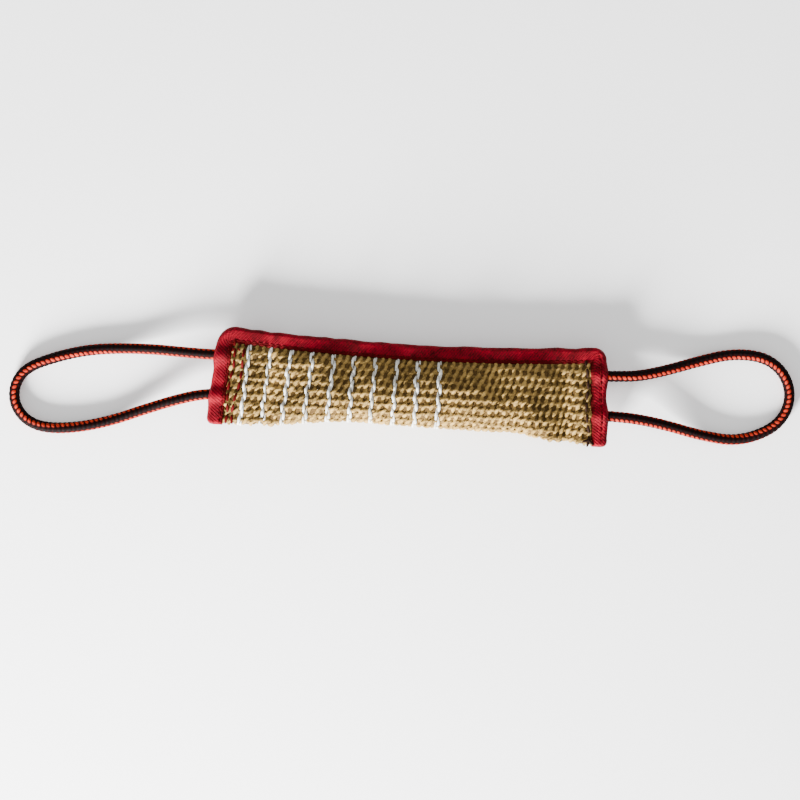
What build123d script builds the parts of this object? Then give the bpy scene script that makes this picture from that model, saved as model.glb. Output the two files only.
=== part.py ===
from build123d import *
import math
import os

# A dog training bumper: a stuffed pillow of thick jute cloth, folded along one long edge, closed
# with a red tape round the other three, and a rope loop sewn into each end as a handle.
# Millimetres. The bumper lies flat: +X runs along it, +Y points to the taped long edge and +Z up.
# The origin is on the floor under the middle of the body.

os.makedirs("parts", exist_ok=True)

# The body, seen from above
body_length = 300.0        # along the folded edge, over the tape
end_width = 75.0           # across each flat, sewn end
taped_edge_dip = 6.8       # how far the taped edge bows in at mid-length
folded_edge_dip = 7.5      # how far the folded edge draws in where the pillow is full
left_slant = 4.6           # degrees that the left end leans in towards the taped edge
right_slant = 4.1          # degrees that the right end leans in
left_corner_radius = 14.0  # tape folded round the upper left corner
right_corner_radius = 9.0
tape_end_radius = 4.0      # the tape's two folded ends, at the lower corners

# The body, seen from the side
half_thickness = 15.5      # from the seam plane to the top of the full pillow
floor_flattening = 1.5     # how much of the underside is pressed flat by the floor
left_fill_length = 80.0    # from the flat left end to the full section
right_fill_length = 58.0
fill_power = 0.7           # how quickly the pillow thickens as it draws in

# Cloth, tape, yarn and thread
cloth = 3.0                # one layer of jute cloth
stuffing_gap = 0.3
tape_thickness = 1.5
tape_cover = 12.0          # width of tape seen from above, wall included
yarn_count = 10
yarn_pitch = 16.2
yarn_width = 2.6
yarn_rise = 0.6
first_yarn_x = -123.5
first_yarn_slant = 3.7     # degrees; the yarns fan out evenly from the first to the last
last_yarn_slant = -3.0
thread_width = 0.9
thread_rise = 0.5
long_seam_margin = 2.4     # from the tape's inner edge out to the row of stitches on the tape
end_seam_margins = {"left": 2.4, "right": 7.4}
closing_row_offsets = {"left": [2.0, 6.6], "right": [2.8]}  # from the tape on to the cloth

# Rope handles
cord_diameter = 8.0
exit_spacing = 30.0        # between the two strands of one loop
exit_shift = {"left": -1.0, "right": 0.5}
tail_length = 32.0         # rope sewn in between the cloth layers
ridge_length = 46.0        # the ridge that each tail raises in the cloth, out to the body's end
swing_offset = 5.5         # from the tape's face to the line that a loop swings about

lip = cloth - 0.3             # the pillow runs in under the flat edge of the cloth
seam_height = half_thickness - floor_flattening
cord_radius = cord_diameter / 2
cloth_bump_radius = cord_radius + cloth
tape_bump_radius = cloth_bump_radius + tape_thickness
slants = {"left": left_slant, "right": right_slant}
sides = {"left": -1, "right": 1}
reach = 400.0              # larger than the body, for cutting blocks


def end_x(side, y, inset=0.0):
    """Where the body's slanted end is at this y, moved inwards by the inset."""
    slant = math.radians(slants[side])
    lean = (y + end_width / 2) * math.tan(slant)
    return sides[side] * (body_length / 2 - lean - inset / math.cos(slant))


def taped_edge_y(x):
    """The bowed long edge that the tape covers."""
    return end_width / 2 - taped_edge_dip * (1 - (2 * x / body_length) ** 2)


def fullness(x):
    """0 at the flat ends and 1 where the pillow is full."""
    value = 1.0
    for side, length in (("left", left_fill_length), ("right", right_fill_length)):
        inside = sides[side] * (end_x(side, 0, tape_cover) - x)
        share = min(max(inside / length, 0.0), 1.0)
        value *= 0.5 - 0.5 * math.cos(math.pi * share)
    return value


def plan_outline(inset, low_edge=None, left_radius=0.0, right_radius=0.0, low_radius=0.0):
    """The body's outline from above, moved inwards, as a flat face."""
    low = -end_width / 2 + inset if low_edge is None else low_edge
    high = end_width / 2 - inset
    low_left = Vector(end_x("left", low, inset), low)
    low_right = Vector(end_x("right", low, inset), low)
    top_left = Vector(end_x("left", high, inset), high)
    top_right = Vector(end_x("right", high, inset), high)
    dip = Vector(0, high - taped_edge_dip)
    outline = Polyline(top_left, low_left, low_right, top_right)
    outline += ThreePointArc(top_right, dip, top_left)
    face = make_face(outline)
    for point, radius in (
        (top_left, left_radius),
        (top_right, right_radius),
        (low_left, low_radius),
        (low_right, low_radius),
    ):
        if radius > 0:
            corner = face.vertices().sort_by_distance(point)[0]
            face = fillet(corner, radius)
    return face


def slab(face, half_height):
    """A flat face made a plate that is centred on the seam plane."""
    return Pos(0, 0, seam_height - half_height) * extrude(face, 2 * half_height)


def pillow(grow=0.0, end_inset=9.0, seam_half=lip, seam_shift=-0.5):
    """The stuffed tube, lofted through cross-sections that fan from one end's slant to the other's."""
    stations = 11
    ring = 8
    sections = []
    for station in range(stations):
        share = station / (stations - 1)
        # Stations crowd towards the ends, where the shape changes quickly
        share = 0.5 - 0.5 * math.cos(math.pi * share)
        left = end_x("left", 0, end_inset)
        right = end_x("right", 0, end_inset)
        x = left + share * (right - left)
        slant = math.radians(left_slant - share * (left_slant + right_slant))
        full = fullness(x)
        top = (taped_edge_y(x) - tape_cover - seam_shift) / math.cos(slant)
        fold = -end_width / 2 + tape_thickness + (folded_edge_dip - tape_thickness) * full
        fold = (fold - grow) / math.cos(slant)
        height = lip + (half_thickness - lip) * full**fill_power + grow
        upper = []
        for step in range(ring + 1):
            angle = math.pi * step / ring
            across = (top + fold) / 2 + (top - fold) / 2 * math.cos(angle)
            edge = seam_half * (1 - ((1 - math.cos(angle)) / 2) ** 6)
            upper.append((across, edge + (height - seam_half) * math.sin(angle)))
        lower = [(across, -rise) for across, rise in reversed(upper[:-1])]
        curve = Edge.make_spline(
            [Vector(across, rise) for across, rise in upper + lower],
            parameters=[step / (2 * ring) for step in range(2 * ring + 1)],
        )
        plane = Plane(
            origin=(x, 0, seam_height),
            x_dir=(math.sin(slant), math.cos(slant), 0),
            z_dir=(math.cos(slant), -math.sin(slant), 0),
        )
        seam = Edge.make_line(Vector(*lower[-1]), Vector(*upper[0]))
        sections.append(plane * Face(Wire([curve, seam])))
    return loft(sections)


def rope_bumps(radius, length):
    """The two ridges over the sewn-in rope tails at each end."""
    ridges = []
    for side, sign in sides.items():
        for strand in (1, -1):
            y = exit_shift[side] + strand * exit_spacing / 2
            x = sign * (body_length / 2 - length / 2)
            ridges.append(Pos(x, y, seam_height) * Rot(0, 90, 0) * Cylinder(radius, length))
    return Part() + ridges


def tape_envelope(grow=0.0):
    """The outside of the folded tape, with its window open over the pillow."""
    outline = plan_outline(0, None, left_corner_radius, right_corner_radius, tape_end_radius)
    window = plan_outline(tape_cover, -reach)
    band = outline - window
    ridges = rope_bumps(tape_bump_radius + grow, tape_cover * 2) & slab(band, half_thickness)
    return slab(band, cloth + tape_thickness + grow) + ridges


above_floor = Pos(0, 0, reach / 2) * Box(2 * reach, reach, reach)
above_lining = Pos(0, 0, cloth) * above_floor

# Rope tails: the ends of each handle, sewn in between the two layers of cloth
body_outline = slab(plan_outline(0), half_thickness)
all_tails = {}
for side, sign in sides.items():
    strands = []
    for strand in (1, -1):
        y = exit_shift[side] + strand * exit_spacing / 2
        outer = end_x(side, y)
        rod = Pos(outer - sign * tail_length / 2, y, seam_height) * Rot(0, 90, 0)
        strands.append(rod * Cylinder(cord_radius, tail_length + 4))
    all_tails[side] = (Part() + strands) & body_outline
tails = all_tails["left"] + all_tails["right"]

# Jute cover: one cloth, folded along the lower long edge, its flat edges meeting in the seam plane
full_pillow = pillow()
flange_outline = plan_outline(
    tape_thickness,
    None,
    left_corner_radius - tape_thickness,
    right_corner_radius - tape_thickness,
    tape_end_radius - tape_thickness,
)
flange = slab(flange_outline - plan_outline(tape_cover + 1, -reach), cloth)
cloth_ridges = rope_bumps(cloth_bump_radius, ridge_length) & slab(flange_outline, half_thickness)
cover_outside = ((flange + cloth_ridges) + full_pillow) & above_floor
cavity = pillow(-cloth, tail_length + 2, 0.4, 2.0) & above_lining
cover = cover_outside - cavity - tails

# Stuffing: fibre pressed into one long pad between the inner ends of the tails
stuffing = pillow(-cloth - stuffing_gap, tail_length + 3, 0.3, 2.5)
stuffing = stuffing & (Pos(0, 0, stuffing_gap) * above_lining)

# Edge tape: one length, folded in half over the edge, from the lower left corner round to the right
tape = tape_envelope() - (flange + cloth_ridges) - full_pillow - tails


def cloth_skin(rise):
    """A thin layer that lies on the cloth, pillow and ridges alike, clear of the tape."""
    grown = pillow(rise) + rope_bumps(cloth_bump_radius + rise, ridge_length)
    return (grown & above_floor) - cover_outside - tape


# White marker yarns woven into the cloth, each running all the way round the pillow
yarn_slabs = []
for index in range(yarn_count):
    x = first_yarn_x + index * yarn_pitch
    turn = first_yarn_slant + (last_yarn_slant - first_yarn_slant) * index / (yarn_count - 1)
    top = taped_edge_y(x) - tape_cover - 1.0
    band = Pos(0, top - end_width / 2) * Box(yarn_width, end_width, reach)
    yarn_slabs.append(Pos(x, 0, 0) * Rot(0, 0, -turn) * band)
yarns = cloth_skin(yarn_rise) & (Part() + yarn_slabs)


def thread_row(side, inset):
    """A thin upright wall along one slanted end, where a row of stitches runs."""
    low = -end_width / 2 + tape_thickness + 3
    high = end_width / 2 - tape_cover - 1.5
    middle = (low + high) / 2
    wall = Box(thread_width, high - low, reach)
    return Pos(end_x(side, middle, inset), middle) * Rot(0, 0, sides[side] * slants[side]) * wall


# Stitching: lockstitched thread, standing proud of the tape and of the cloth on both faces
tape_skin = tape_envelope(thread_rise) - tape_envelope() - cover_outside
long_seam_inset = tape_cover - long_seam_margin
seam_path = plan_outline(long_seam_inset) - plan_outline(long_seam_inset + thread_width, -reach)
long_edge_span = Pos(0, end_width / 2) * Box(body_length - 4 * tape_cover, end_width, reach)
long_edge_stitching = tape_skin & slab(seam_path, half_thickness) & long_edge_span
thread_skin = cloth_skin(thread_rise)
tape_stitching = {}
closing_stitching = {}
for side in sides:
    tape_stitching[side] = tape_skin & thread_row(side, tape_cover - end_seam_margins[side])
    rows = [thread_row(side, tape_cover + offset) for offset in closing_row_offsets[side]]
    closing_stitching[side] = thread_skin & (Part() + rows)

# Rope handles. Each loop leaves one exit, slopes down to the floor and comes back to the other
# exit. A loop swings about the line through its two exits.


def swing_point(side, strand):
    """The middle of the rope just outside an exit, on the line that the loop swings about."""
    y = exit_shift[side] + strand * exit_spacing / 2
    slant = math.radians(slants[side])
    x = end_x(side, y) + sides[side] * swing_offset * math.cos(slant)
    return (x, y + swing_offset * math.sin(slant), seam_height)


left_route = [
    swing_point("left", 1),
    (-171.0, 14.9, 12.8),
    (-192.0, 15.8, 8.4),
    (-216.0, 15.2, 4.9),
    (-240.0, 12.8, 4.0),
    (-263.0, 6.6, 4.0),
    (-285.8, -2.2, 4.0),
    (-294.6, -15.0, 4.0),
    (-294.6, -30.4, 4.0),
    (-285.8, -43.0, 4.0),
    (-271.2, -48.4, 4.0),
    (-248.0, -46.4, 4.0),
    (-222.0, -39.8, 4.4),
    (-196.0, -29.2, 7.6),
    (-173.0, -20.8, 12.6),
    swing_point("left", -1),
]
right_route = [
    swing_point("right", 1),
    (170.0, 17.0, 12.8),
    (192.0, 23.0, 8.4),
    (216.0, 31.4, 4.9),
    (240.0, 38.2, 4.0),
    (263.2, 37.2, 4.0),
    (278.2, 27.4, 4.0),
    (285.2, 11.2, 4.0),
    (281.8, -6.2, 4.0),
    (269.2, -18.8, 4.0),
    (246.0, -27.2, 4.0),
    (220.0, -24.4, 4.4),
    (194.0, -18.4, 7.8),
    (171.0, -14.8, 12.6),
    swing_point("right", -1),
]


def rope_loop(name, route):
    """A round rope along straight runs joined by the largest arcs they allow."""
    points = [Vector(*point) for point in route]
    runs = [after - before for before, after in zip(points, points[1:])]
    radii = []
    for before, after in zip(runs, runs[1:]):
        turn = math.radians(before.get_angle(after))
        radii.append(0.45 * min(before.length, after.length) / math.tan(turn / 2))
    path = FilletPolyline(*points, radius=radii)
    print(name, "radii", [round(radius, 1) for radius in radii])
    print(name, "runs", [round(run.length, 1) for run in runs], "path", round(path.length, 1))
    section = Plane(origin=path @ 0, z_dir=path % 0) * Circle(cord_radius)
    tube = sweep(section, path=path)
    print(name, "volume", round(tube.volume), "section x length", round(section.area * path.length))
    for point in (points[0], points[-1]):
        tube += Pos(*point) * Sphere(cord_radius)
    return tube


nodes = {
    "jute_cover": cover,
    "stuffing": stuffing,
    "white_marker_yarns": yarns,
    "edge_tape": tape,
    "long_edge_stitching": long_edge_stitching,
    "left_tape_stitching": tape_stitching["left"],
    "right_tape_stitching": tape_stitching["right"],
    "left_closing_stitching": closing_stitching["left"],
    "right_closing_stitching": closing_stitching["right"],
    "left_handle_tails": all_tails["left"],
    "right_handle_tails": all_tails["right"],
    "left_handle_cord": rope_loop("left_handle_cord", left_route),
    "right_handle_cord": rope_loop("right_handle_cord", right_route),
}
for name, shape in nodes.items():
    export_step(shape, f"parts/{name}.step")
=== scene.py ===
import math

import bmesh
import bpy
import numpy as np
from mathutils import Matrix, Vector
from mathutils.bvhtree import BVHTree


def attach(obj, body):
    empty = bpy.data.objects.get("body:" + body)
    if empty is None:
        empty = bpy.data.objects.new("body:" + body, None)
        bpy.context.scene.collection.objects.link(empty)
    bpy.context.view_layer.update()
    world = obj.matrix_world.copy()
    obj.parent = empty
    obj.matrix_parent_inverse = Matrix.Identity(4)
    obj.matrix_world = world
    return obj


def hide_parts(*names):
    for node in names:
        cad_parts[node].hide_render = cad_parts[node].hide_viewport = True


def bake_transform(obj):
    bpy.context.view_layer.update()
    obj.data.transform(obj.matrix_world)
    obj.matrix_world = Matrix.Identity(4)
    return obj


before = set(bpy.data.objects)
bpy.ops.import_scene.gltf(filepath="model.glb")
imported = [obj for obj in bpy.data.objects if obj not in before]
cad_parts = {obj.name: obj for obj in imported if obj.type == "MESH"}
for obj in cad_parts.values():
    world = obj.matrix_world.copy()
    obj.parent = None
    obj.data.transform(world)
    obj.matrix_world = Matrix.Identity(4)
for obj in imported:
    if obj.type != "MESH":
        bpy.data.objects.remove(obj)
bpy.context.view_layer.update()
scene = bpy.context.scene

# ---------------------------------------------------------------- the view
# The bumper lies flat and is seen from straight above through a long lens, turned a few
# degrees clockwise. The floor is plain and pale. The light is soft, low and from the
# folded edge's side, so the taped side of the pillow falls into shade.
view_turn = math.radians(3.4)
view_width = 0.5965
view_height = 3.0
view_centre = (-0.0065, -0.0112)
seam_height = 0.014       # the plane of the sewn ends and rope exits, and what view_width is for
floor_half = 6.0


def placed(name, data):
    """A new object in the scene."""
    made = bpy.data.objects.new(name, data)
    scene.collection.objects.link(made)
    return made


lens = bpy.data.cameras.new("camera")
lens.sensor_width = 36.0
lens.lens = lens.sensor_width * view_height / view_width
camera = placed("camera", lens)
camera.location = (*view_centre, view_height + seam_height)
camera.rotation_euler = (0, 0, view_turn)
scene.camera = camera

floor_mesh = bpy.data.meshes.new("floor")
floor_signs = [(-1, -1), (1, -1), (1, 1), (-1, 1)]
floor_corners = [(x * floor_half, y * floor_half, 0) for x, y in floor_signs]
floor_mesh.from_pydata(floor_corners, [], [(0, 1, 2, 3)])
floor = placed("floor", floor_mesh)
floor_material = bpy.data.materials.new("pale_floor")
floor_material.use_nodes = True
floor_shader = floor_material.node_tree.nodes["Principled BSDF"]
floor_shader.inputs["Base Color"].default_value = (0.97, 0.97, 0.97, 1)
floor_shader.inputs["Roughness"].default_value = 0.9
floor_mesh.materials.append(floor_material)

world = bpy.data.worlds.new("studio")
world.use_nodes = True
sky = world.node_tree.nodes["Background"].inputs
sky["Color"].default_value = (1, 1, 1, 1)
sky["Strength"].default_value = 0.85
scene.world = world


def soft_box(name, place, aim, size, power):
    """A square area light that faces a point."""
    light = bpy.data.lights.new(name, "AREA")
    light.size = size
    light.energy = power
    lamp = placed(name, light)
    lamp.location = place
    lamp.rotation_euler = (Vector(aim) - Vector(place)).to_track_quat("-Z", "Y").to_euler()


soft_box("key_light", (-0.80, -1.62, 0.52), (0, 0, 0), 0.6, 400)
soft_box("fill_light", (0.6, 0.4, 2.2), (0, 0, 0), 1.6, 16)


# ---------------------------------------------------------------- rope handles
# Each handle is one length of 8 mm braided rope, black with orange-red stripes, bent into a
# loop. Its two ends are sewn in between the cloth layers, 30 mm apart, and the loop slopes
# from its exits down to the floor.
cord_columns = 6          # lengthways columns of braid stitches, orange and black in turn
cord_stitch = 0.0037      # from one stitch to the next along a column
cord_slant = 0.42         # how far a stitch leans along the rope, in stitches
cord_core = 0.00372       # radius at the bottom of the grooves
cord_swell = 0.00052      # how far a stitch stands proud
stitch_width, stitch_edge = 0.92, 0.04    # shares of a column: a stitch, and the gap beside it
stitch_bluntness = 0.6    # lower makes a stitch's outline squarer
cord_ring = 48            # points round the rope
cord_step = 0.00052       # between the rings of points along it
tail_length = 0.030
tail_shares = (0.02, 0.25, 0.5, 0.7)
tail_thin = 0.86          # the sewn-in tails are pressed thinner than the rope
# Where round the rope an orange column lies, in degrees, at a few places along it in metres
stripe_places = {
    "left": ((0, 0.07, 0.1, 0.13, 0.16, 0.19, 0.22, 0.26, 0.34), (150, 148, 126, 106, 86, 94, 128, 146, 150)),
    "right": (
        (0, 0.03, 0.07, 0.11, 0.14, 0.16, 0.18, 0.2, 0.22, 0.245, 0.27, 0.32),
        (76, 60, 50, 52, 76, 88, 80, 62, 42, 28, 20, 15),
    ),
}
left_route = [
    (-0.1440, 0.0145, 0.014),
    (-0.1520, 0.0144, 0.014),
    (-0.1710, 0.0149, 0.0128),
    (-0.1920, 0.0158, 0.0084),
    (-0.2160, 0.0152, 0.0049),
    (-0.2400, 0.0128, 0.0043),
    (-0.2630, 0.0066, 0.0043),
    (-0.2858, -0.0028, 0.0043),
    (-0.2948, -0.0152, 0.0043),
    (-0.2948, -0.0302, 0.0043),
    (-0.2858, -0.0424, 0.0043),
    (-0.2712, -0.0478, 0.0043),
    (-0.2480, -0.0464, 0.0043),
    (-0.2220, -0.0398, 0.0044),
    (-0.1960, -0.0292, 0.0076),
    (-0.1730, -0.0208, 0.0126),
    (-0.1545, -0.0156, 0.014),
    (-0.1460, -0.0150, 0.014),
]
right_route = [
    (0.1445, 0.0155, 0.014),
    (0.1525, 0.0159, 0.014),
    (0.1700, 0.0170, 0.0128),
    (0.1920, 0.0230, 0.0084),
    (0.2160, 0.0314, 0.0049),
    (0.2400, 0.0382, 0.0043),
    (0.2632, 0.0372, 0.0043),
    (0.2782, 0.0274, 0.0043),
    (0.2852, 0.0112, 0.0043),
    (0.2818, -0.0062, 0.0043),
    (0.2692, -0.0188, 0.0043),
    (0.2460, -0.0272, 0.0043),
    (0.2200, -0.0244, 0.0044),
    (0.1940, -0.0184, 0.0078),
    (0.1710, -0.0148, 0.0126),
    (0.1540, -0.0141, 0.014),
    (0.1460, -0.0140, 0.014),
]


def inlet(node, key):
    """A node's input, by name or, as n0 or n1, by number."""
    return node.inputs[int(key[1:]) if key[1:].isdigit() else key.replace("_", " ")]


class Socket:
    """A shader socket that arithmetic works on. It adds Math nodes to the socket's tree."""

    def __init__(self, tree, source):
        self.tree, self.source = tree, source

    @classmethod
    def start(cls, name):
        """A new material: its tree wrapper and its main shader."""
        material = bpy.data.materials.new(name)
        material.use_nodes = True
        return material, cls(material.node_tree, None), material.node_tree.nodes["Principled BSDF"]

    def node(self, kind, settings=(), output=0, **sockets):
        """Any node: settings first, then a value or a link for each named socket."""
        made = self.tree.nodes.new(kind)
        for key, value in dict(settings).items():
            if key == "stops":
                ramp = made.color_ramp.elements
                while len(ramp) < len(value):
                    ramp.new(0.5)
                for element, (place, colour) in zip(ramp, value):
                    element.position, element.color = place, (*colour, 1)
            else:
                setattr(made, key, value)
        for key, value in sockets.items():
            if isinstance(value, Socket):
                self.tree.links.new(value.source, inlet(made, key))
            else:
                inlet(made, key).default_value = value
        return Socket(self.tree, made.outputs[output])

    def maths(self, operation, *values):
        numbered = {f"n{i}": value for i, value in enumerate(values)}
        return self.node("ShaderNodeMath", {"operation": operation}, **numbered)

    def mix(self, factor, first, second, blend="MIX"):
        """Mixes two colours, given as sockets or as red, green, blue."""
        first, second = ((*c, 1) if isinstance(c, tuple) else c for c in (first, second))
        settings = {"data_type": "RGBA", "blend_type": blend}
        return self.node("ShaderNodeMix", settings, 2, n0=factor, n6=first, n7=second)

    def noise(self, spot, scale, detail, **more):
        return self.node("ShaderNodeTexNoise", Vector=spot, Scale=scale, Detail=detail, **more)

    def spot(self):
        """The place on the object, in metres."""
        return self.node("ShaderNodeTexCoord", (), 3)

    def clamp(self, value):
        return self.node("ShaderNodeClamp", n0=value)

    def relief(self, shader, strength, distance, height):
        """A bump node that feeds the shader's normal."""
        bump = self.node("ShaderNodeBump", Strength=strength, Distance=distance, Height=height)
        bump.feed(shader.inputs["Normal"])

    def feed(self, socket):
        self.tree.links.new(self.source, socket)

    def __add__(self, other):
        return self.maths("ADD", self, other)

    def __sub__(self, other):
        return self.maths("SUBTRACT", self, other)

    def __rsub__(self, other):
        return self.maths("SUBTRACT", other, self)

    def __mul__(self, other):
        return self.maths("MULTIPLY", self, other)

    def __mod__(self, other):
        return self.maths("FLOORED_MODULO", self, other)

    def __lt__(self, other):
        return self.maths("LESS_THAN", self, other)

    __radd__ = __add__
    __rmul__ = __mul__


def rope_material():
    """Black and orange-red yarn in six columns of slanting stitches, with painted shade in the grooves."""
    material, m, shader = Socket.start("braided_rope")
    place = m.node("ShaderNodeUVMap", {"uv_map": "UVMap"})
    around = m.node("ShaderNodeSeparateXYZ", n0=place)
    along = m.node("ShaderNodeSeparateXYZ", (), 1, n0=place)
    column = around * cord_columns
    stripe = (column % 2.0) < 1.0
    across = column % 1.0
    spot = m.spot()
    grain = m.noise(spot, 1100.0, 2.0)
    patch = m.noise(spot, 210.0, 2.0)
    tone = m.clamp((grain - 0.5) * 1.4 + (patch - 0.5) * 1.3 + 0.5)
    orange = m.mix(tone, (0.17, 0.0035, 0.0018), (0.44, 0.034, 0.013))
    black = m.mix(tone, (0.0003, 0.0002, 0.0002), (0.0030, 0.0014, 0.0012))
    colour = m.mix(stripe, black, orange)
    beat = along * (1 / cord_stitch) + (across - 0.5) * (stripe * 2.0 - 1.0) * cord_slant + stripe * -0.5
    swell = m.maths("ABSOLUTE", m.maths("SINE", beat * math.pi))
    side = m.maths("SINE", (across * stitch_width + stitch_edge) * math.pi)
    # Painted shade: the colour goes nearly black in the grooves between the stitches and between the columns.
    shade = m.clamp((swell * side - 0.28) * 2.4)
    colour = m.mix(shade, (0.006, 0.0002, 0.0002), colour)
    colour.feed(shader.inputs["Base Color"])
    (tone * 0.15 + 0.60).feed(shader.inputs["Roughness"])
    yarns = m.maths("SINE", (beat * 9.0) + (across * 5.0))
    m.relief(shader, 0.4, 0.0002, yarns * 0.4 + grain)
    shader.inputs["Specular IOR Level"].default_value = 0.04
    return material


def smooth_line(name, route):
    """Points along the NURBS spline that has the route as its control points."""
    curve = bpy.data.curves.new(name, "CURVE")
    curve.dimensions = "3D"
    spline = curve.splines.new("NURBS")
    spline.points.add(len(route) - 1)
    for point, place in zip(spline.points, route):
        point.co = (*place, 1)
    spline.order_u = 3
    spline.use_endpoint_u = True
    spline.resolution_u = 40
    holder = bpy.data.objects.new(name, curve)
    line = bpy.data.meshes.new_from_object(holder)
    points = np.array([vertex.co for vertex in line.vertices])
    bpy.data.objects.remove(holder)
    return points


def evenly(points, step):
    """The same line with its points a set distance apart, and that distance along it."""
    lengths = np.concatenate([[0], np.cumsum(np.linalg.norm(np.diff(points, axis=0), axis=1))])
    places = np.linspace(0, lengths[-1], int(lengths[-1] / step) + 1)
    return np.column_stack([np.interp(places, lengths, points[:, k]) for k in range(3)]), places


def new_mesh(name, points, faces, material, smooth=True):
    """A mesh object at the origin with one material."""
    mesh = bpy.data.meshes.new(name)
    mesh.from_pydata(np.asarray(points).tolist(), [], faces)
    mesh.materials.append(material)
    mesh.polygons.foreach_set("use_smooth", [smooth] * len(mesh.polygons))
    mesh.update()
    return placed(name, mesh)


def tube_faces(rings, count):
    """Quads between rings of points, and the tube's two ends."""
    faces = []
    for ring in range(rings - 1):
        for k in range(count):
            near, far = ring * count, (ring + 1) * count
            after = (k + 1) % count
            faces.append((near + k, far + k, far + after, near + after))
    faces.append(tuple(range(count)))
    faces.append(tuple((rings - 1) * count + k for k in reversed(range(count))))
    return faces


def map_tube(piece, places, low, high):
    """The tube's UV map: round it from low to high on each face, and along it by places."""
    uv = piece.data.uv_layers.new(name="UVMap")
    count = len(low)
    ring_of, k_of = np.divmod(np.arange((len(places) - 1) * count), count)
    low, high = low[k_of], high[k_of]
    near, far = places[ring_of], places[ring_of + 1]
    corners = np.stack([low, near, low, far, high, far, high, near], axis=1).reshape(-1)
    flat = np.zeros(len(uv.data) * 2)
    flat[: len(corners)] = corners
    uv.data.foreach_set("uv", flat)


def braided_rope(name, route, material, stripes, thin=1.0):
    """A closed tube whose skin is raised into slanted stitches, column by column."""
    path, places = evenly(smooth_line(name + "_line", route), cord_step)
    ahead = np.gradient(path, axis=0)
    ahead /= np.linalg.norm(ahead, axis=1)[:, None]
    side = np.cross(ahead, (0, 0, 1.0))
    side /= np.linalg.norm(side, axis=1)[:, None]
    above = np.cross(side, ahead)
    turn = np.arange(cord_ring) / cord_ring
    column = turn * cord_columns
    across = column % 1.0
    parity = np.floor(column) % 2
    start = np.radians(np.interp(places, *stripes) - 180 / cord_columns)
    domed = np.sin(math.pi * (across * stitch_width + stitch_edge)) ** stitch_bluntness
    points = []
    for here, s, out, up, first in zip(path, places, side, above, start):
        beat = s / cord_stitch + (across - 0.5) * (1 - 2 * parity) * cord_slant - 0.5 * (1 - parity)
        swell = np.abs(np.sin(math.pi * beat)) ** stitch_bluntness * domed
        radius = (cord_core + cord_swell * swell) * thin
        angle = (2 * math.pi * turn + first)[:, None]
        points.append(here + radius[:, None] * (np.cos(angle) * out + np.sin(angle) * up))
    rope = new_mesh(name, np.concatenate(points), tube_faces(len(points), cord_ring), material)
    map_tube(rope, places, turn, (np.arange(cord_ring) + 1) / cord_ring)
    return rope, path, places[-1]


def joined(name, pieces):
    """One mesh object out of several."""
    both = bmesh.new()
    for piece in pieces:
        both.from_mesh(piece.data)
    made = pieces[0]
    both.to_mesh(made.data)
    both.free()
    for piece in pieces[1:]:
        bpy.data.objects.remove(piece)
    made.name = name
    return made


rope = rope_material()
for side, route, sign in (("left", left_route, -1), ("right", right_route, 1)):
    handle, path, length = braided_rope(f"{side}_rope", route, rope, stripe_places[side])
    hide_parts(f"{side}_handle_cord")
    path[::8].tolist() + [path[-1].tolist()]
    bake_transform(handle)
    strands = []
    for number, place in enumerate((route[0], route[-1])):
        x, y, z = place
        sewn_in = [(x - sign * tail_length * share, y, z) for share in tail_shares]
        name = f"{side}_tail_{number}"
        strands.append(braided_rope(name, sewn_in, rope, ((0, 1), (45, 45)), tail_thin)[0])
    tails = joined(f"{side}_rope_tails", strands)
    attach(tails, "body")
    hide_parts(f"{side}_handle_tails")

# ---------------------------------------------------------------- stuffed jute body
# One thick jute cloth is folded along the lower long edge and stuffed, and its flat edges
# are sewn together along the other three sides. The stuffing draws the middle in and
# rounds it, and the sewn-in rope tails raise two ridges at each end.
body_length = 0.300
end_width = 0.075
taped_edge_dip = 0.0068
folded_edge_dip = 0.0075
slants = {"left": math.radians(4.6), "right": math.radians(4.1)}
ways = {"left": -1, "right": 1}
exits = {"left": (0.0140, -0.0160), "right": (0.0155, -0.0145)}
fill_lengths = {"left": 0.080, "right": 0.058}
half_thickness = 0.0155
flat_half = 0.003         # half of the two sewn layers
pressed_half = 0.0024     # from the seam to the middle of the cloth where the tape presses it
fold_slack = 0.0044       # the stuffing pulls the fold in by about this much
sewn_lip = 0.0035         # how far the cloth runs in under the tape
sewn_flatness = 0.35      # how much flatter the pillow rises from the tape than at its fold
tape_cover = 0.012        # how far the tape reaches in over the cloth
tail_ridge = 0.0056
ridge_spread = 0.0086
ridge_reach = 0.046
weave_depth = 0.0028      # from the outside of the yarns down to the middle of the cloth
floor_gap = 0.0030        # the same, where the cloth lies on the floor
grid_margin = 0.004       # the cloth stops this far inside the slanted ends
flat_fold = 0.0015        # how far in the fold is at the flat ends
cloth_columns, cloth_steps = 91, 61
outline_samples = 200
stuffing_steps = 20
most_stuffing = 0.0035    # the furthest that stuffing moves the cloth
backing_depth = 0.0001
stuffing_depth = 0.0032
stuffing_margin = 12      # columns of the cloth's grid at each end without stuffing


def end_x(side, y, inset=0.0):
    """Where one slanted end is at this y, moved inwards by the inset."""
    lean = (y + end_width / 2) * math.tan(slants[side])
    return ways[side] * (body_length / 2 - lean - inset / math.cos(slants[side]))


def taped_edge_y(x):
    return end_width / 2 - taped_edge_dip * (1 - (2 * x / body_length) ** 2)


def fullness(x):
    """0 at the flat ends and 1 where the pillow is full."""
    value = 1.0
    for side, length in fill_lengths.items():
        share = np.clip(ways[side] * (end_x(side, 0, tape_cover) - x) / length, 0, 1)
        value = value * (0.5 - 0.5 * np.cos(math.pi * share))
    return value


def hump(distance, spread):
    """1 in the middle, falling off smoothly over the spread."""
    return np.exp(-((distance / spread) ** 2))


def greater(first, second):
    """The greater of two heights, with the crease between them rounded."""
    return (first**5 + second**5) ** 0.2


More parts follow.
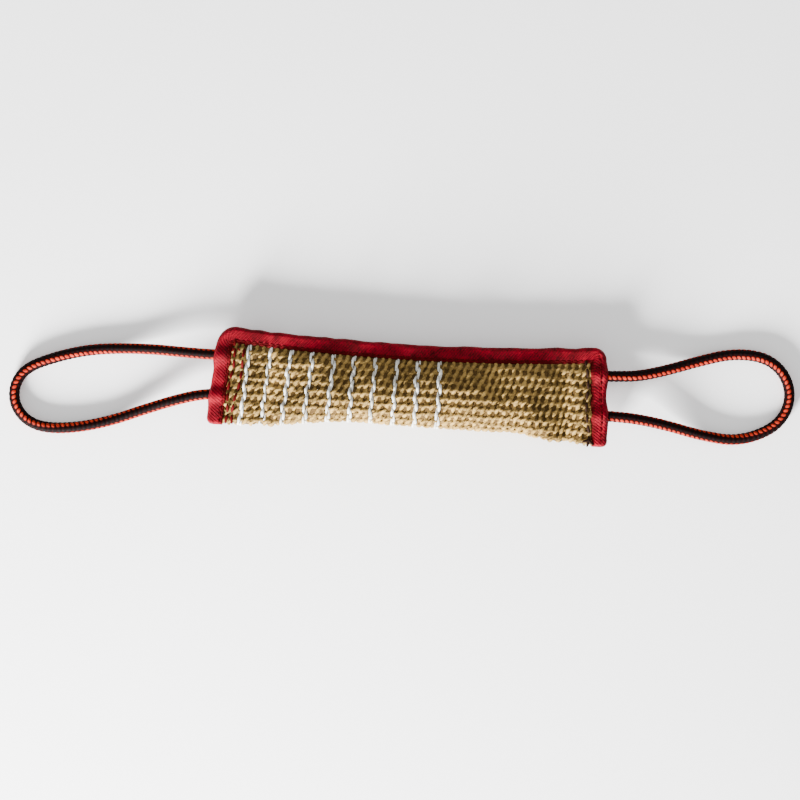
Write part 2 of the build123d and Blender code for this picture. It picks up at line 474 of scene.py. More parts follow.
def cloth_ring(share, steps):
    """One section of the cloth: sewn lip, crown, fold, underside and lower lip, evenly spaced."""
    left, right = end_x("left", 0, grid_margin), end_x("right", 0, grid_margin)
    x = left + share * (right - left)
    slant = slants["left"] - share * (slants["left"] + slants["right"])
    full = float(fullness(x))
    top = (taped_edge_y(x) - tape_cover) / math.cos(slant)
    yarn_room = weave_depth * min(full * 4, 1)
    fold = -end_width / 2 + flat_fold + (folded_edge_dip - flat_fold) * full
    fold += yarn_room - fold_slack * (1 - math.exp(-3 * full))
    fold = fold / math.cos(slant)
    height = flat_half + (half_thickness - flat_half) * full**0.7 - yarn_room
    angle = np.linspace(0, math.pi, outline_samples)
    across = (top + fold) / 2 + (top - fold) / 2 * np.cos(angle)
    lip = pressed_half * (1 - ((1 - np.cos(angle)) / 2) ** 6)
    sewn_side = 1 + sewn_flatness * (0.5 + 0.5 * np.cos(angle))
    rise = lip + (height - pressed_half) * np.sin(angle) ** sewn_side
    for side, ends in exits.items():
        inside = ways[side] * (end_x(side, 0) - x)
        fade = np.clip(1 - inside / ridge_reach, 0, 1)
        for y in ends:
            rise = greater(rise, tail_ridge * hump(across - y, ridge_spread) * fade**0.4)
    rise = rise * np.clip((1 - np.cos(angle - math.pi)) * 40, 0, 1) ** 0.5
    across = np.concatenate([[top + sewn_lip], across, across[-2::-1], [top + sewn_lip]])
    rise = np.concatenate([[rise[0]], rise, -rise[-2::-1], [-rise[0]]])
    lengths = np.concatenate([[0], np.cumsum(np.hypot(np.diff(across), np.diff(rise)))])
    places = np.linspace(0, lengths[-1], steps)
    across, rise = np.interp(places, lengths, across), np.interp(places, lengths, rise)
    height = np.maximum(seam_height + rise, floor_gap)
    return np.column_stack([x + across * math.sin(slant), across * math.cos(slant), height])


cloth_shares = [i / (cloth_columns - 1) for i in range(cloth_columns)]
cloth_grid = np.array([cloth_ring(share, cloth_steps) for share in cloth_shares])


def grid_faces(columns, steps):
    """Quads of a tube, closed along its lips, and its two flat ends."""
    faces = []
    for i in range(columns - 1):
        for j in range(steps):
            a, b = i * steps + j, i * steps + (j + 1) % steps
            faces.append((a, b, b + steps, a + steps))
    faces.append(tuple(range(steps))[::-1])
    faces.append(tuple((columns - 1) * steps + j for j in range(steps)))
    return faces


def stuff(grid):
    """Cloth simulation: the sewn tube, cut a little too large, is blown up like a stuffed pad."""
    columns, steps = grid.shape[:2]
    mesh = bpy.data.meshes.new("pad")
    mesh.from_pydata(grid.reshape(-1, 3).tolist(), [], grid_faces(columns, steps))
    pad = placed("pad", mesh)
    held = pad.vertex_groups.new(name="sewn")
    sewn = [i * steps + j for i in range(columns) for j in (0, steps - 1)]
    sewn += [i * steps + j for i in (*range(5), *range(columns - 5, columns)) for j in range(steps)]
    held.add(sewn, 1.0, "REPLACE")
    cloth = pad.modifiers.new("cloth", "CLOTH")
    cloth.settings.vertex_group_mass = "sewn"
    cloth.settings.use_pressure = True
    cloth.settings.uniform_pressure_force = 3.0
    cloth.settings.shrink_min = -0.035
    cloth.settings.tension_stiffness = 40
    cloth.settings.compression_stiffness = 40
    cloth.settings.bending_stiffness = 6
    cloth.settings.effector_weights.gravity = 0
    cloth.collision_settings.use_collision = False
    cloth.point_cache.frame_start, cloth.point_cache.frame_end = 1, stuffing_steps
    for step in range(1, stuffing_steps + 1):
        scene.frame_set(step)
    swollen = pad.evaluated_get(bpy.context.evaluated_depsgraph_get())
    swollen = bpy.data.meshes.new_from_object(swollen)
    moved = np.array([vertex.co for vertex in swollen.vertices]).reshape(grid.shape)
    scene.frame_set(1)
    bpy.data.objects.remove(pad)
    shift = moved - grid
    size = np.linalg.norm(shift, axis=2, keepdims=True)
    from_lip = np.minimum(np.arange(steps), np.arange(steps)[::-1]) / 6
    from_end = np.minimum(np.arange(columns), np.arange(columns)[::-1]) / 9
    fade = np.clip(from_lip, 0, 1)[None, :, None] * np.clip(from_end, 0, 1)[:, None, None]
    return grid + fade * shift * most_stuffing * np.tanh(size / most_stuffing) / np.maximum(size, 1e-9)


cloth_grid = stuff(cloth_grid)
cloth_grid[:, :, 2] = np.maximum(cloth_grid[:, :, 2], floor_gap)


def grid_normals(grid):
    """Outward directions at the grid's points."""
    along, round_it = np.gradient(grid, axis=0), np.gradient(grid, axis=1)
    facing = np.cross(along, -round_it)
    return facing / np.maximum(np.linalg.norm(facing, axis=2, keepdims=True), 1e-12)


cloth_normals = grid_normals(cloth_grid)


def on_cloth(share, way_round, field):
    """The field at a place on the cloth, along it and round it, both from 0 to 1."""
    i = np.clip(np.asarray(share) * (cloth_columns - 1), 0, cloth_columns - 1.001)
    j = np.clip(np.asarray(way_round) * (cloth_steps - 1), 0, cloth_steps - 1.001)
    i0, j0 = i.astype(int), j.astype(int)
    fi, fj = (i - i0)[..., None], (j - j0)[..., None]
    low = field[i0, j0] * (1 - fj) + field[i0, j0 + 1] * fj
    high = field[i0 + 1, j0] * (1 - fj) + field[i0 + 1, j0 + 1] * fj
    return low * (1 - fi) + high * fi


def jute_material(name, dark, light, speckle):
    """Coarse spun bast fibre: streaks, slubs and a dull, rough surface."""
    material, m, shader = Socket.start(name)
    spot = m.spot()
    patch = m.noise(spot, 55.0, 3.0)
    slub = m.noise(spot, 300.0, 4.0, Roughness=0.7)
    fibre = m.noise(spot, 2400.0, 2.0)
    tone = m.clamp((slub - 0.5) * 2.3 + (patch - 0.5) * 1.3 + 0.5)
    colour = m.mix(tone, dark, light)
    fleck = m.clamp((fibre - 0.62) * 9.0)
    colour = m.mix(fleck * 0.5, colour, speckle)
    colour.feed(shader.inputs["Base Color"])
    (tone * -0.12 + 0.92).feed(shader.inputs["Roughness"])
    m.relief(shader, 0.5, 0.0004, slub * 0.6 + fibre)
    shader.inputs["Specular IOR Level"].default_value = 0.2
    return material


jute = jute_material("jute_yarn", (0.070, 0.038, 0.005), (0.43, 0.270, 0.075), (0.76, 0.56, 0.25))
# The backing material and the sheet below are painted shade: a dark layer just under the yarns that shows in
# the gaps between them.
backing_painted_shade = jute_material("painted_shade_backing", (0.040, 0.020, 0.003), (0.10, 0.055, 0.011), (0.16, 0.10, 0.03))
# The weft yarns get a darker copy of the jute colours. This is painted shade, because they lie deeper than
# the warp tufts. Their streaks and slubs are the jute's own.
painted_shade_weft_jute = jute_material("painted_shade_weft_yarn", (0.050, 0.027, 0.004), (0.27, 0.165, 0.045), (0.50, 0.35, 0.14))
backing_grid = cloth_grid - cloth_normals * backing_depth
backing_faces = grid_faces(cloth_columns, cloth_steps)
backing = new_mesh("painted_shade_backing", backing_grid.reshape(-1, 3), backing_faces, backing_painted_shade)
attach(backing, "body")
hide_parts("jute_cover")

stuffing_fibre, m, shader = Socket.start("stuffing_fibre")
spot = m.spot()
tangle = m.noise(spot, 320.0, 4.0, Distortion=1.5)
m.mix(tangle, (0.55, 0.52, 0.47), (0.80, 0.78, 0.74)).feed(shader.inputs["Base Color"])
m.relief(shader, 0.6, 0.0006, tangle)
shader.inputs["Roughness"].default_value = 0.95
stuffing_grid = cloth_grid - cloth_normals * stuffing_depth
stuffing_grid = stuffing_grid[stuffing_margin:-stuffing_margin]
stuffing = new_mesh(
    "fibre_stuffing",
    stuffing_grid.reshape(-1, 3),
    grid_faces(len(stuffing_grid), cloth_steps),
    stuffing_fibre,
)
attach(stuffing, "body")
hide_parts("stuffing")

# ---------------------------------------------------------------- jute yarns
# A plain weave of thick weft yarns, laid lengthways, and two-ply warp yarns that run round the
# body and swell into slanting tufts wherever they pass over a weft yarn. Twenty of the warp
# yarns, in pairs that lie close together, are white.
warp_pitch = 0.0027
weft_count = 20
warp_radius = 0.00142
tuft_swell = 0.30         # how much wider a warp yarn is on top of a weft yarn
warp_wave = 0.00115
warp_lean = 0.00150
weft_radius = 0.0018
weft_wave = 0.00040
white_every = 6
white_gap = 0.0015        # between the two white yarns of a pair
white_lean = 0.00010
white_thickness = 0.63
white_swell = 0.42
white_rise = 0.00045
white_pairs = 10
first_white_share = 0.0692
warp_count = 104
first_share, last_share = 0.022, 0.978    # of the cloth's length, where the warp yarns lie
weft_overhang = 0.008     # how much further out the weft yarns reach, as such a share
weft_sink = 0.0009
yarn_points = 120
tape_grip = 0.0132        # from the body's edge to where the yarns start to be pressed flat
tape_release = 0.0015     # how soon after that they are free
yarn_limit = 0.0034       # half thickness of the cloth with its yarns under the tape


def yarn_lines(name, lines):
    """A curve object with one poly line for each row of points and their thickness."""
    curve = bpy.data.curves.new(name, "CURVE")
    curve.dimensions = "3D"
    for line in lines:
        spline = curve.splines.new("POLY")
        spline.points.add(len(line) - 1)
        flat = np.column_stack([line[:, :3], np.ones(len(line))]).reshape(-1)
        spline.points.foreach_set("co", flat.astype(np.float32))
        spline.points.foreach_set("radius", line[:, 3].astype(np.float32))
    return placed(name, curve)


def new_tree(name, values, result):
    """A geometry node tree with its named inputs and result, and the function that adds to it."""
    tree = bpy.data.node_groups.new(name, "GeometryNodeTree")
    face = tree.interface
    face.new_socket("Lines", in_out="INPUT", socket_type="NodeSocketGeometry")
    for key, default in values.items():
        kind = "NodeSocketInt" if isinstance(default, int) else "NodeSocketFloat"
        face.new_socket(key, in_out="INPUT", socket_type=kind).default_value = default
    face.new_socket("Material", in_out="INPUT", socket_type="NodeSocketMaterial")
    face.new_socket(result, in_out="OUTPUT", socket_type="NodeSocketGeometry")

    def add(kind, settings=(), **links):
        made = tree.nodes.new(kind)
        for key, value in dict(settings).items():
            setattr(made, key, value)
        for key, value in links.items():
            if isinstance(value, bpy.types.NodeSocket):
                tree.links.new(value, inlet(made, key))
            else:
                inlet(made, key).default_value = value
        return made

    return tree, add


def spinning_tree():
    """Geometry nodes that turn lines into two-ply yarn: a two-lobed section, twisted as it goes."""
    values = {"Radius": 0.001, "Lobes": 0.2, "Turns": 100.0, "Sides": 8}
    tree, add = new_tree("spun_yarn", values, "Yarn")
    entry = add("NodeGroupInput").outputs
    length = add("GeometryNodeSplineParameter").outputs["Length"]
    tilt = add("ShaderNodeMath", {"operation": "MULTIPLY"}, n0=length, n1=entry["Turns"])
    tilt = add("ShaderNodeMath", {"operation": "MULTIPLY"}, n0=tilt.outputs[0], n1=2 * math.pi)
    twisted = add("GeometryNodeSetCurveTilt", Curve=entry["Lines"], Tilt=tilt.outputs[0])
    ring = add("GeometryNodeCurvePrimitiveCircle", Resolution=entry["Sides"], Radius=entry["Radius"])
    place = add("GeometryNodeInputPosition").outputs[0]
    unit = add("ShaderNodeVectorMath", {"operation": "NORMALIZE"}, n0=place).outputs[0]
    x_part = add("ShaderNodeSeparateXYZ", n0=unit).outputs[0]
    square = add("ShaderNodeMath", {"operation": "MULTIPLY"}, n0=x_part, n1=x_part).outputs[0]
    swell = add("ShaderNodeMath", {"operation": "MULTIPLY"}, n0=square, n1=entry["Lobes"]).outputs[0]
    swell = add("ShaderNodeMath", {"operation": "SUBTRACT"}, n0=swell, n1=entry["Lobes"]).outputs[0]
    swell = add("ShaderNodeMath", {"operation": "ADD"}, n0=swell, n1=1.0).outputs[0]
    pinched = add("ShaderNodeVectorMath", {"operation": "SCALE"}, n0=place, Scale=swell).outputs[0]
    section = add("GeometryNodeSetPosition", Geometry=ring.outputs[0], Position=pinched)
    settings = {"Curve": twisted.outputs[0], "Profile_Curve": section.outputs[0], "Fill_Caps": True}
    thickness = add("GeometryNodeInputRadius").outputs[0]
    tube = add("GeometryNodeCurveToMesh", Scale=thickness, **settings)
    real = add("GeometryNodeRealizeInstances", Geometry=tube.outputs[0])
    smooth = add("GeometryNodeSetShadeSmooth", Geometry=real.outputs[0])
    dressed = add("GeometryNodeSetMaterial", Geometry=smooth.outputs[0], Material=entry["Material"])
    add("NodeGroupOutput", n0=dressed.outputs[0])
    return tree


def run_nodes(holder, tree, name, settings):
    """The result of a node tree as a plain mesh object. Its modifier goes with the old object."""
    nodes = holder.modifiers.new("nodes", "NODES")
    nodes.node_group = tree
    for item in tree.interface.items_tree:
        if item.item_type == "SOCKET" and item.in_out == "INPUT" and item.name in settings:
            nodes[item.identifier] = settings[item.name]
    result = holder.evaluated_get(bpy.context.evaluated_depsgraph_get())
    mesh = bpy.data.meshes.new_from_object(result, preserve_all_data_layers=True)
    mesh.name = name
    holder.modifiers.remove(nodes)
    bpy.data.objects.remove(holder)
    return placed(name, mesh)


def pressed(line, radius):
    """Presses a yarn down to the flat cloth where the tape holds it, and keeps it off the floor."""
    x, y, z = line.T
    edge = taped_edge_y(x) - y
    for side in ("left", "right"):
        edge = np.minimum(edge, ways[side] * (end_x(side, y) - x))
    ends = np.minimum(edge, 1.0)
    free = np.clip((ends - tape_grip) / tape_release + 1, 0, 1)
    flat_limit = np.full(len(line), yarn_limit)
    for side, places in exits.items():
        inside = ways[side] * (end_x(side, 0) - x)
        for place in places:
            near = hump(y - place, ridge_spread) * np.clip(1 - inside / ridge_reach, 0, 1) ** 0.4
            flat_limit = np.maximum(flat_limit, (tail_ridge + 0.001) * near)
    flat_limit = flat_limit - radius
    rise = z - seam_height
    held = np.clip(rise, -flat_limit, flat_limit)
    line[:, 2] = seam_height + held + (rise - held) * free
    line[:, 2] = np.maximum(line[:, 2], radius)
    return line


def wander(places, knots, middle, spread):
    """A random value at each of a number of knots from 0 to 1, read off at the places."""
    return np.interp(places, np.linspace(0, 1, knots), dice.normal(middle, spread, knots))


spun_yarn = spinning_tree()
dice = np.random.default_rng(7)
warp_shares = np.linspace(first_share, last_share, warp_count)
warp_spacing = warp_shares[1] - warp_shares[0]
share_length = body_length - 2 * grid_margin
first_white = round((first_white_share - first_share) / warp_spacing)
white_numbers = {}        # which warp yarns are white, and how far to its twin each one moves
for pair in range(white_pairs):
    for k in (0, 1):
        white_numbers[first_white + white_every * pair + k] = 0.5 - k
way_round = np.linspace(0.012, 0.988, yarn_points)
jute_lines, white_lines = [], []
for number, share in enumerate(warp_shares):
    drift = wander(way_round, 9, 0, 0.10)
    beat = math.pi * (weft_count * way_round - 0.5 + number + drift)
    wobble = wander(way_round, 18, 0, 0.00026)
    white = number in white_numbers
    closer = white_numbers.get(number, 0) * (warp_pitch - white_gap)
    lean = white_lean if white else warp_lean
    sideways = (closer - lean * np.sin(beat) + wobble) / share_length
    rise = warp_wave * np.cos(beat) * (1 + dice.normal(0, 0.06)) + (white_rise if white else 0.0)
    where = share + sideways
    line = on_cloth(where, way_round, cloth_grid)
    line = line + rise[:, None] * on_cloth(where, way_round, cloth_normals)
    tuft = wander(way_round, 40, 1, 0.09)
    swell = white_swell if white else tuft_swell
    thick = (white_thickness if white else 1.0) * (1 + swell * np.cos(beat)) * tuft
    line = np.column_stack([pressed(line, warp_radius * thick), thick])
    (white_lines if white else jute_lines).append(line)
weft_lines = []
shares = np.linspace(first_share - weft_overhang, last_share + weft_overhang, 2 * warp_count)
for number in range(weft_count):
    beat = math.pi * ((shares - first_share) / warp_spacing + number)
    where = (number + 0.5) / weft_count + wander(shares, 16, 0, 0.0030)
    rise = -weft_wave * np.cos(beat) - weft_sink
    line = on_cloth(shares, where, cloth_grid)
    line = line + rise[:, None] * on_cloth(shares, where, cloth_normals)
    thick = wander(shares, 60, 1, 0.06)
    weft_lines.append(np.column_stack([pressed(line, weft_radius * thick), thick]))

white_yarn, m, shader = Socket.start("white_yarn")
spot = m.spot()
fibre = m.noise(spot, 1500.0, 3.0)
patch = m.noise(spot, 90.0, 2.0)
tone = m.clamp((fibre - 0.5) * 1.2 + (patch - 0.5) * 1.6 + 0.62)
m.mix(tone, (0.17, 0.16, 0.12), (0.82, 0.82, 0.78)).feed(shader.inputs["Base Color"])
(fibre * 0.2 + 0.72).feed(shader.inputs["Roughness"])
m.relief(shader, 0.4, 0.0003, fibre)
shader.inputs["Specular IOR Level"].default_value = 0.25

yarn_pieces = (
    ("jute_warp_yarns", jute_lines, warp_radius, 0.30, 95.0, 8, jute),
    ("jute_weft_yarns", weft_lines, weft_radius, 0.18, 60.0, 8, painted_shade_weft_jute),
    ("white_marker_yarn_pairs", white_lines, warp_radius * 1.02, 0.24, 80.0, 8, white_yarn),
)
weave = []
for name, lines, radius, lobes, turns, sides, material in yarn_pieces:
    settings = {"Radius": radius, "Lobes": lobes, "Turns": turns, "Sides": sides, "Material": material}
    yarns = run_nodes(yarn_lines(name, lines), spun_yarn, name, settings)
    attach(yarns, "body")
    if material is white_yarn:
        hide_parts("white_marker_yarns")
    weave.append(yarns)

# ---------------------------------------------------------------- edge tape
# One length of ribbed crimson cotton webbing, folded in half over the three sewn edges from
# the lower left corner round to the lower right. It swells over the rope tails, is pulled in
# along its line of stitches, and its two cut ends are folded under.
tape_half = 0.0047        # half thickness of the folded tape, cloth included
tape_fold = 0.0030        # how far in from its edge the fold is rounded
tape_corners = {"left": 0.014, "right": 0.009}
tape_tip = 0.005
tape_seam_inset = 0.0096
right_seam_inset = 0.0046
tape_seam_dip = 0.0007
tape_swell = 0.0070       # half thickness over the rope tails
tape_swell_spread = 0.0084
tape_bulge = 0.0014       # how far the rope pushes the tape outwards
tails_from = 0.125        # the tails swell the tape only further out than this
tails_fade = 0.006
tape_slot = 0.62          # height of the slot that holds the cloth, as a share of the tape's
leaf_steps = 20           # points across each face of the tape, and round its fold
fold_steps = 25
seam_width = 0.0007
hem_drop = 0.0011         # how far the inner edge is pulled down
tip_round = 0.0022
twill_along, twill_across = 0.78, 0.62
pick_pitch = 0.0011
rib_pitch = 0.0018
rib_height = 0.00008
least_radius = 0.0004
stitch_pitch = 0.0044
tape_rings = (124, 44, 560, 30, 132)      # left end, corner, long edge, corner, right end


def sharp_corner(side, inset):
    """Where one end and the long taped edge would meet, both moved inwards."""
    y = end_width / 2
    for _ in range(6):
        y = taped_edge_y(end_x(side, y, inset)) - inset
    return np.array([end_x(side, y, inset), y])


def tape_line(inset):
    """The taped edges from the lower left to the lower right, moved inwards, as rings of points."""
    runs, arcs = {}, {}
    for side in ("left", "right"):
        radius = max(tape_corners[side] - inset, least_radius)
        centre = sharp_corner(side, inset + radius)
        slope = 8 * taped_edge_dip * centre[0] / body_length**2
        from_angle = math.pi if side == "left" else 0.0
        from_angle += -slants[side] if side == "left" else slants[side]
        to_angle = math.pi / 2 + math.atan(slope)
        count = tape_rings[1 if side == "left" else 3]
        angles = np.linspace(from_angle, to_angle, count)
        arcs[side] = centre + radius * np.column_stack([np.cos(angles), np.sin(angles)])
        low = np.array([end_x(side, -end_width / 2, inset), -end_width / 2])
        count = tape_rings[0 if side == "left" else 4]
        steps = np.linspace(0, 1, count, endpoint=False)[:, None]
        runs[side] = low + (arcs[side][0] - low) * steps
    first, last = arcs["left"][-1], arcs["right"][-1]
    steps = np.linspace(0, 1, tape_rings[2] + 2)[1:-1]
    x = first[0] + (last[0] - first[0]) * steps
    y = taped_edge_y(x) - inset
    y += (first[1] - taped_edge_y(first[0]) + inset) * (1 - steps) ** 8
    y += (last[1] - taped_edge_y(last[0]) + inset) * steps**8
    long_edge = np.column_stack([x, y])
    right_way = (arcs["right"][::-1], runs["right"][::-1])
    return np.concatenate([runs["left"], arcs["left"], long_edge, *right_way])


leaf = np.linspace(tape_cover, tape_fold, leaf_steps)
leaf_ones, leaf_zeros = np.ones(leaf_steps - 1), np.zeros(leaf_steps - 1)
fold_angle = np.linspace(math.pi / 2, -math.pi / 2, fold_steps)
top_inset = np.concatenate([leaf[:-1], tape_fold * (1 - np.cos(fold_angle)), leaf[-2::-1]])
lift = np.concatenate([leaf_ones, np.sin(fold_angle), -leaf_ones])
outward = np.concatenate([leaf_zeros, np.cos(fold_angle), leaf_zeros])
inner_inset = np.array([tape_cover, 0.008, 0.003, 0.003, 0.008, tape_cover])
inner_lift = np.repeat([-tape_slot, tape_slot], 3)
inner_zeros = np.zeros(len(inner_inset))
insets = np.concatenate([top_inset, inner_inset])
section = len(insets)
rings = sum(tape_rings)
plan = np.stack([tape_line(inset) for inset in insets], axis=1)
facing = plan - np.stack([tape_line(inset + 0.0002) for inset in insets], axis=1)
facing /= np.maximum(np.linalg.norm(facing, axis=2, keepdims=True), 1e-9)
along_steps = np.linalg.norm(np.diff(tape_line(0.006), axis=0), axis=1)
along = np.concatenate([[0], np.cumsum(along_steps)])
width_steps = np.hypot(np.diff(top_inset), np.diff(lift * tape_half))
across = np.concatenate([[0], np.cumsum(width_steps)])
tape_width = across[-1]
across = np.concatenate([across, inner_zeros])

tip = np.minimum(along, along[-1] - along)
tip_inset = tape_tip - np.sqrt(np.maximum(tape_tip**2 - np.maximum(tape_tip - tip, 0) ** 2, 0))
tip_lift = np.sqrt(1 - (1 - np.clip(tip / tip_round, 0.06, 1)) ** 2)
drawn_in = tip_inset[:, None] * (1 - insets / tape_cover)
twill = 2 * math.pi * (along[:, None] * twill_along - across * twill_across) / rib_pitch
finer = np.sin(2.6 * math.pi * (along[:, None] - across) / rib_pitch)
ribs = rib_height * (np.sin(twill) + 0.35 * finer)
pucker = 0.75 + 0.25 * np.cos(2 * math.pi * along[:, None] / stitch_pitch)
right_end = np.arange(rings)[:, None] >= rings - tape_rings[4] - tape_rings[3] // 2
seam_at = np.where(right_end, right_seam_inset, tape_seam_inset)
groove = tape_seam_dip * hump(insets - seam_at, seam_width) * pucker
hem = hem_drop * np.clip((insets - tape_seam_inset) / (tape_cover - tape_seam_inset), 0, 1) ** 2
slow = np.interp(along, np.linspace(0, along[-1], 60), dice.normal(0, 0.00013, 60))[:, None]
swell = np.zeros((rings, section))
bulge = np.zeros((rings, section))
for side, ends in exits.items():
    for y in ends:
        at_end = np.clip((ways[side] * plan[:, :, 0] - tails_from) / tails_fade, 0, 1)
        near = hump(plan[:, :, 1] - y, tape_swell_spread) * at_end
        swell = np.maximum(swell, tape_swell * near)
        bulge = np.maximum(bulge, tape_bulge * near * (1 - insets / tape_cover))
half = greater(tape_half, swell)
profile_lift = np.concatenate([lift, inner_lift])
profile_out = np.concatenate([outward, inner_zeros])
outer = np.concatenate([np.ones(len(top_inset)), inner_zeros])    # 1 outside, 0 in the slot
closed = outer + (1 - outer) * np.clip((tip[:, None] - 0.0005) / 0.005, 0.01, 1)
skin = ribs + slow - groove - hem
height = half * profile_lift * closed * tip_lift[:, None]
height = height + skin * np.sign(profile_lift) * np.abs(profile_lift) * outer
shift = bulge - drawn_in + (skin * profile_out + slow) * outer
plan = plan + facing * shift[:, :, None]
tape_points = np.concatenate([plan, (seam_height + height)[:, :, None]], axis=2)

tape_cloth, m, shader = Socket.start("red_tape")
place = m.node("ShaderNodeUVMap", {"uv_map": "UVMap"})
wide = m.node("ShaderNodeSeparateXYZ", n0=place)
long = m.node("ShaderNodeSeparateXYZ", (), 1, n0=place)
spot = m.spot()
patch = m.noise(spot, 130.0, 4.0)
fibre = m.noise(spot, 900.0, 3.0)
rib = m.maths("SINE", (long * twill_along - wide * twill_across) * (2 * math.pi / rib_pitch))
pick = m.maths("SINE", (long * twill_across + wide * twill_along) * (2 * math.pi / pick_pitch))
mottle = rib * 0.24 + pick * 0.16 + (fibre - 0.5) * 2.0 + (patch - 0.5) * 2.2 + 0.5
tone = m.clamp(mottle)
colour = m.mix(tone, (0.034, 0.0001, 0.0012), (0.20, 0.0012, 0.0095))
# Painted shade: on both faces, the strip between the stitch line and the tape's inner edge is darkened
# towards a deep red.
seam_low = tape_cover - tape_seam_inset
hem_painted_shade = m.maths("MINIMUM", wide, tape_width - wide)
hem_painted_shade = m.clamp((seam_low + 0.0002 - hem_painted_shade) * 2200.0)
colour = m.mix(hem_painted_shade * 0.75, colour, (0.050, 0.0004, 0.0006))
colour.feed(shader.inputs["Base Color"])
(fibre * 0.2 + 0.66).feed(shader.inputs["Roughness"])
relief = pick * 0.5 + fibre * 1.2 + rib * 0.3
m.relief(shader, 0.5, 0.00025, relief)
shader.inputs["Specular IOR Level"].default_value = 0.06

tape_faces = tube_faces(rings, section)
tape = new_mesh("edge_tape_webbing", tape_points.reshape(-1, 3), tape_faces, tape_cloth)
map_tube(tape, along, across, np.roll(across, -1))
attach(tape, "body")
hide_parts("edge_tape")

# ---------------------------------------------------------------- stitching
# Lockstitched thread. Crimson thread holds the tape down along its inner edge on both faces,
# with a little square of crossing stitches at the upper left corner. Rows of dark red thread
# close the left end of the body, and one row of brown thread with a knot closes the right end.
stitch_long = 0.0036
stitch_thick = 0.0011
stitch_rise = 0.00012
closing_pitch = 0.0078
closing_long = 0.0072
closing_thick = 0.0023
closing_insets = {"left": (0.0140, 0.0186), "right": (0.0148,)}
second_row_lean = 0.0036  # the left end's inner row leans away from the tape towards the top
cross_size = 0.0042       # the square of stitches at the upper left corner
cross_rise = 0.0004
cross_shift = (-0.0002, 0.0002)
row_rise = 0.0003
row_start = 0.0045        # from the fold's side of the body to where the closing rows start
knot_reach = 0.0016
knot_turns = (0.3, 1.4, 2.4)


def stitching_tree():
    """Geometry nodes that lay one rounded stitch every pitch along lines, each turned a little."""
    values = {"Pitch": 0.004, "Length": 0.003, "Thickness": 0.001, "Skew": 0.1, "Seed": 3}
    tree, add = new_tree("lockstitch", values, "Stitches")
    entry = add("NodeGroupInput").outputs
    settings = {"Curve": entry["Lines"], "Length": entry["Pitch"]}
    spaced = add("GeometryNodeCurveToPoints", {"mode": "LENGTH"}, **settings).outputs
    bead = add("GeometryNodeMeshUVSphere", Segments=8, Rings=6, Radius=0.5).outputs["Mesh"]
    thick = entry["Thickness"]
    size = add("ShaderNodeCombineXYZ", X=thick, Y=thick, Z=entry["Length"]).outputs[0]
    drawn = add("GeometryNodeTransform", Geometry=bead, Scale=size).outputs[0]
    settings = {"Points": spaced["Points"], "Rotation": spaced["Rotation"]}
    laid = add("GeometryNodeInstanceOnPoints", Instance=drawn, **settings).outputs[0]
    back = add("ShaderNodeMath", {"operation": "MULTIPLY"}, n0=entry["Skew"], n1=-1.0).outputs[0]
    settings = {"n0": back, "n1": entry["Skew"], "Seed": entry["Seed"]}
    chance = add("FunctionNodeRandomValue", {"data_type": "FLOAT_VECTOR"}, **settings).outputs[0]
    turned = add("GeometryNodeRotateInstances", Instances=laid, Rotation=chance).outputs[0]
    real = add("GeometryNodeRealizeInstances", n0=turned).outputs[0]
    smooth = add("GeometryNodeSetShadeSmooth", n0=real).outputs[0]
    dressed = add("GeometryNodeSetMaterial", Geometry=smooth, Material=entry["Material"])
    add("NodeGroupOutput", n0=dressed.outputs[0])
    return tree


def thread_material(name, dark, light):
    """Twisted thread: fine slanting plies and a slight shine."""
    material, m, shader = Socket.start(name)
    spot = m.spot()
    plies = m.noise(spot, 1800.0, 2.0)
    m.mix(plies, dark, light).feed(shader.inputs["Base Color"])
    (plies * 0.3 + 0.55).feed(shader.inputs["Roughness"])
    shader.inputs["Specular IOR Level"].default_value = 0.06
    m.relief(shader, 0.5, 0.0002, plies)
    return material


def surface_over(points, pieces, way, lift):
    """The points set down on the pieces from above (way 1) or below (way -1), and lifted."""
    laid = []
    for x, y in points:
        hits = []
        for tree in pieces:
            hit = tree.ray_cast(Vector((x, y, seam_height + way * 0.05)), Vector((0, 0, -way)))
            if hit[0] is not None:
                hits.append(hit[0].z * way)
        if hits:
            laid.append((x, y, way * (max(hits) + lift), 1.0))
    return np.array(laid)


def softened(line, reach):
    """The line drawn tight over the tops that are within reach along it."""
    before, after = reach // 2, reach - 1 - reach // 2
    way = np.sign(line[0, 2] - seam_height)
    rise = np.pad((line[:, 2] - seam_height) * way, (before, after), mode="edge")
    tops = np.array([rise[k : k + reach].max() for k in range(len(line))])
    padded = np.pad(tops, (before, after), mode="edge")
    line[:, 2] = seam_height + way * np.convolve(padded, np.ones(reach) / reach, mode="valid")
    return line


red_thread = thread_material("red_thread", (0.028, 0.0001, 0.0004), (0.080, 0.0004, 0.0016))
dark_thread = thread_material("dark_red_thread", (0.022, 0.0001, 0.0002), (0.085, 0.0003, 0.0006))
brown_thread = thread_material("brown_thread", (0.005, 0.002, 0.001), (0.020, 0.007, 0.003))
lockstitch = stitching_tree()
laid_out = bpy.context.evaluated_depsgraph_get()
tape_tree = BVHTree.FromObject(tape, laid_out)
cloth_trees = [BVHTree.FromObject(piece, laid_out) for piece in (backing, *weave)]
seam_line = tape_line(tape_seam_inset)
right_seam_line = tape_line(right_seam_inset)
corner_one = sum(tape_rings[:2])
corner_two = corner_one + tape_rings[2]
inner_corner = tape_line(tape_cover + 0.0004)[tape_rings[0] + tape_rings[1] // 2]
cross_lines = []
for low, high in (((0, 0), (1, -1)), ((0, -1), (1, 0)), ((0, 0.1), (1.1, 0.1)), ((-0.1, -1), (-0.1, 0))):
    steps = np.linspace(0, 1, 8)[:, None]
    start = inner_corner + np.array(low) * cross_size + np.array(cross_shift)
    finish = inner_corner + np.array(high) * cross_size + np.array(cross_shift)
    cross_lines.append(start + (finish - start) * steps)

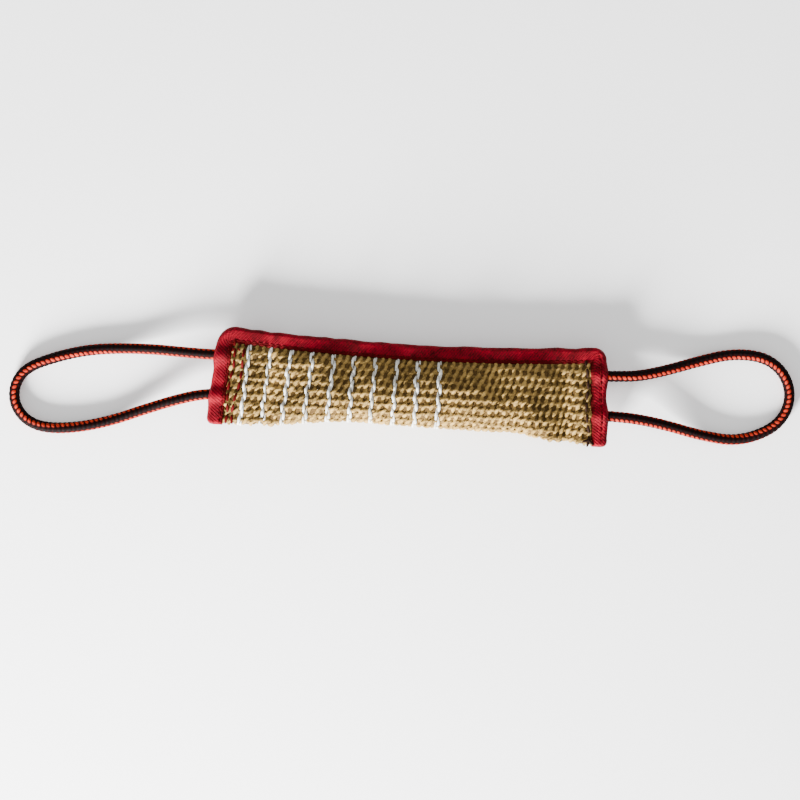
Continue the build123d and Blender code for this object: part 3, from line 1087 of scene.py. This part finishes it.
spans = {
    "left_tape_stitching": [seam_line[6 : tape_rings[0] + tape_rings[1]]],
    "long_edge_stitching": [seam_line[corner_one:corner_two]],
    "right_tape_stitching": [right_seam_line[corner_two + tape_rings[3] // 2 : -8]],
}
for node, paths in spans.items():
    lines = []
    for way in (1, -1):
        for path in paths:
            lines.append(softened(surface_over(path, [tape_tree], way, stitch_rise), 5))
    if node == "left_tape_stitching":
        for path in cross_lines:
            lines.append(softened(surface_over(path, [tape_tree, *cloth_trees], 1, cross_rise), 7))
    settings = {
        "Pitch": stitch_pitch,
        "Length": stitch_long,
        "Thickness": stitch_thick,
        "Skew": 0.07,
        "Seed": 5,
        "Material": red_thread,
    }
    name = node.replace("stitching", "stitches")
    stitches = run_nodes(yarn_lines(node, lines), lockstitch, name, settings)
    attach(stitches, "body")
    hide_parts(node)

for side, insets_in in closing_insets.items():
    lines = []
    low, high = -end_width / 2 + row_start, end_width / 2 - tape_cover - 0.0005
    for way in (1, -1):
        for row, inset in enumerate(insets_in):
            y = np.linspace(low, high, 120)
            lean = row * second_row_lean * (y - low) / (high - low)
            drift = 0.0008 * np.sin(y * 160 + row * 2) + lean
            x = np.array([end_x(side, value, inset) for value in y]) + drift
            row_line = surface_over(np.column_stack([x, y]), cloth_trees, way, row_rise)
            lines.append(softened(row_line, 11))
    thread = dark_thread if side == "left" else brown_thread
    settings = {
        "Pitch": closing_pitch,
        "Length": closing_long,
        "Thickness": closing_thick,
        "Skew": 0.10,
        "Seed": 8,
        "Material": thread,
    }
    if side == "right":
        knot = lines[0][0]
        steps = np.linspace(-1, 1, 5)[:, None]
        for turn in knot_turns:
            run = np.array((math.cos(turn), math.sin(turn))) * knot_reach
            height = np.full(len(steps), knot[2] + 0.0005)
            lines.append(np.column_stack([knot[:2] + steps * run, height, np.ones(len(steps))]))
    name = f"{side}_closing_stitches"
    stitches = run_nodes(yarn_lines(name, lines), lockstitch, name, settings)
    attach(stitches, "body")
    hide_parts(f"{side}_closing_stitching")
